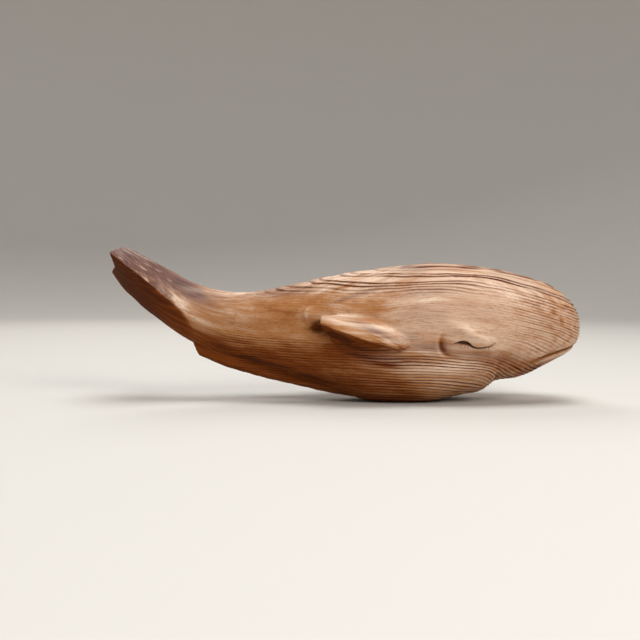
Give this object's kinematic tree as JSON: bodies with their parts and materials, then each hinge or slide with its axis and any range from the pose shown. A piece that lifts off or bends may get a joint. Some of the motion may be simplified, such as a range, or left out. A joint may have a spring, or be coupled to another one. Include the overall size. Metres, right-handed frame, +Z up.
{
  "type": "wooden whale carving",
  "caption": "Whale carved from a single block of softwood, resting on its belly with the tail raised, side fins swept back and eyes closed.",
  "frame": {"origin": "on the ground, below the middle of the carving's length and width", "axes": "+X towards the snout, +Y to the whale's left, +Z up"},
  "size_m": [0.2672, 0.0748, 0.0886],
  "materials": {
    "oiled_softwood": "hand carved softwood with raised late wood ridges, worn smooth and satin with age"
  },
  "bodies": {
    "root": {"whale_carving": "oiled_softwood"}
  },
  "joints": []
}
